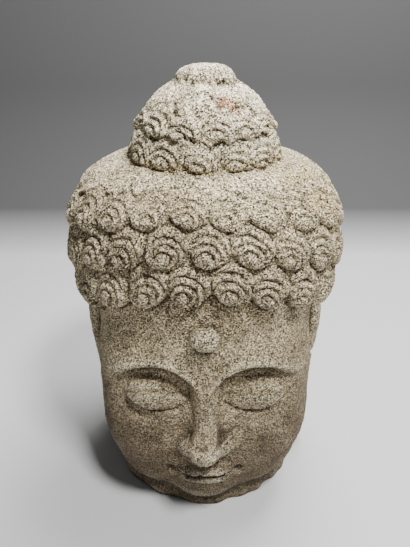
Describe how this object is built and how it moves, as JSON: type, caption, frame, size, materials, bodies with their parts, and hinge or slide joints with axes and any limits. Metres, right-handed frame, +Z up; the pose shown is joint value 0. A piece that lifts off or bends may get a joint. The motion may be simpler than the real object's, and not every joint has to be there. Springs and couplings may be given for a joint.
{
  "type": "stone buddha head",
  "caption": "Carved volcanic stone Buddha head with rows of snail curls, a domed ushnisha, long ears and a broken neck, cut flat below to stand on a table or plinth.",
  "frame": {"origin": "middle of the flat underside of the neck, on the surface that the head stands on", "axes": "+Z up, the face looks towards -Y, +X is on the right of someone who looks at the face"},
  "size_m": [0.2502, 0.2556, 0.4],
  "materials": {
    "stone": "matte"
  },
  "bodies": {
    "root": {"buddha_head": "stone"}
  },
  "joints": []
}
